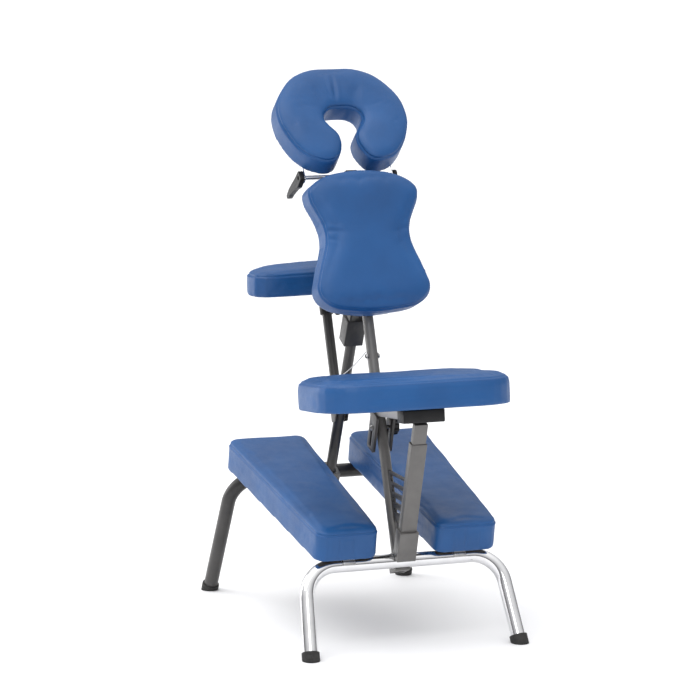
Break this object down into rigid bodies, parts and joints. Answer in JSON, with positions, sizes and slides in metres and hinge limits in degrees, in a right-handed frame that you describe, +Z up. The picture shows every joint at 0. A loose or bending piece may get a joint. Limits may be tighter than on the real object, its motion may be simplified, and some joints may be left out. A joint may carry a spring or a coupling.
{
  "type": "kneeling massage chair",
  "caption": "Folding kneeling massage chair with a padded seat, shin pads, a chest pad, an open face cushion and an armrest on leaned tube frames.",
  "frame": {"origin": "middle of the bounding box's bottom face, on the floor", "axes": "+Z up, +Y the way the sitter faces, +X to the sitter's right"},
  "size_m": [0.519, 0.7951, 1.2158],
  "materials": {
    "chrome": "polished chrome plate",
    "grey_paint": "satin grey powder coat",
    "dark_paint": "satin dark powder coat",
    "light_paint": "satin light grey",
    "steel": "zinc plated steel",
    "black_plastic": "moulded black",
    "rubber": "matt black rubber",
    "plywood": "black-stained plywood base",
    "blue_vinyl": "soft blue upholstery vinyl"
  },
  "bodies": {
    "rear_frame": {"rear_leg": "chrome", "rear_foot_left": "rubber", "rear_foot_right": "rubber", "rear_boot": "grey_paint", "mast_bracket": "grey_paint", "mast_tube": "grey_paint", "mast_collar": "black_plastic", "web_plate": "dark_paint", "seat_post_outer": "grey_paint", "fold_pin": "steel", "stay_bolt": "steel", "stay_wire": "steel", "seat_clamp_bolt": "steel"},
    "front_frame": {"front_leg": "dark_paint", "front_foot_left": "rubber", "front_foot_right": "rubber", "front_boot": "grey_paint", "front_strut": "dark_paint", "yoke": "dark_paint", "armrest_gusset_left": "dark_paint", "armrest_gusset_right": "dark_paint", "armrest_tube": "dark_paint", "armrest_collar": "black_plastic"},
    "seat": {"seat_post_inner": "grey_paint", "seat_head": "black_plastic", "seat_fork_left": "light_paint", "seat_fork_right": "light_paint", "seat_slot_plate_left": "dark_paint", "seat_slot_plate_right": "dark_paint", "seat_board": "plywood", "seat_cushion": "blue_vinyl"},
    "seat_clamp_knob": {"seat_clamp_knob": "black_plastic"},
    "knee_left": {"knee_hinge_left": "steel", "knee_saddle_left": "rubber", "knee_board_left": "plywood", "knee_cushion_left": "blue_vinyl"},
    "knee_right": {"knee_hinge_right": "steel", "knee_saddle_right": "rubber", "knee_board_right": "plywood", "knee_cushion_right": "blue_vinyl"},
    "chest_pad": {"chest_slider": "dark_paint", "chest_board": "plywood", "chest_cushion": "blue_vinyl"},
    "chest_knob": {"chest_knob": "black_plastic"},
    "head_slide": {"head_post": "chrome", "head_clevis": "dark_paint", "head_axle": "chrome", "head_nut": "black_plastic"},
    "head_height_knob": {"head_height_knob": "black_plastic"},
    "head_cradle": {"cradle_arm_left": "chrome", "cradle_arm_right": "chrome", "cradle_plate": "dark_paint", "face_cushion": "blue_vinyl"},
    "head_lever": {"head_lever": "black_plastic"},
    "armrest_slide": {"armrest_post": "dark_paint", "armrest_tilt_bolt": "steel"},
    "armrest_height_knob": {"armrest_height_knob": "black_plastic"},
    "armrest_pad": {"armrest_bracket": "grey_paint", "armrest_board": "plywood", "armrest_cushion": "blue_vinyl"}
  },
  "joints": [
    {"name": "frame_fold", "type": "hinge", "parent": "rear_frame", "child": "front_frame", "pos_m": [0, 0, 0.7747], "axis": [-1, 0, 0], "range_deg": [0, 30], "deforming": ["stay_wire"]},
    {"name": "seat_height", "type": "slide", "parent": "rear_frame", "child": "seat", "axis": [0, -0.3007, 0.9537], "range_m": [0, 0.04]},
    {"name": "seat_clamp_turn", "type": "hinge", "parent": "rear_frame", "child": "seat_clamp_knob", "pos_m": [0, -0.12251, 0.45219], "axis": [1, 0, 0], "range_deg": [0, 180]},
    {"name": "knee_left_lift", "type": "hinge", "parent": "rear_frame", "child": "knee_left", "pos_m": [-0.138, -0.2557, 0.182], "axis": [1, 0, 0], "range_deg": [0, 30]},
    {"name": "knee_right_lift", "type": "hinge", "parent": "rear_frame", "child": "knee_right", "pos_m": [0.138, -0.2557, 0.182], "axis": [1, 0, 0], "range_deg": [0, 30]},
    {"name": "chest_height", "type": "slide", "parent": "rear_frame", "child": "chest_pad", "axis": [0, 0.3551, 0.9348], "range_m": [-0.04, 0]},
    {"name": "chest_knob_turn", "type": "hinge", "parent": "chest_pad", "child": "chest_knob", "pos_m": [0, 0.05776, 0.87043], "axis": [0, 0.9348, -0.3551], "range_deg": [0, 180]},
    {"name": "head_height", "type": "slide", "parent": "rear_frame", "child": "head_slide", "axis": [0, 0.3551, 0.9348], "range_m": [0, 0.07]},
    {"name": "head_height_knob_turn", "type": "hinge", "parent": "rear_frame", "child": "head_height_knob", "pos_m": [0, 0.0851, 0.94241], "axis": [0, 0.9348, -0.3551], "range_deg": [0, 180]},
    {"name": "head_tilt", "type": "hinge", "parent": "head_slide", "child": "head_cradle", "pos_m": [0, 0.0963, 0.98202], "axis": [1, 0, 0], "range_deg": [-40, 15]},
    {"name": "head_lever_turn", "type": "hinge", "parent": "head_slide", "child": "head_lever", "pos_m": [0, 0.0963, 0.98202], "axis": [1, 0, 0], "range_deg": [-55, 0]},
    {"name": "armrest_height", "type": "slide", "parent": "front_frame", "child": "armrest_slide", "axis": [0, 0.3584, 0.9336], "range_m": [0, 0.05]},
    {"name": "armrest_knob_turn", "type": "hinge", "parent": "front_frame", "child": "armrest_height_knob", "pos_m": [0.018, 0.24016, 0.66166], "axis": [1, 0, 0], "range_deg": [0, 180]},
    {"name": "armrest_tilt", "type": "hinge", "parent": "armrest_slide", "child": "armrest_pad", "pos_m": [0, 0.25306, 0.69527], "axis": [1, 0, 0], "range_deg": [-12, 12]}
  ]
}
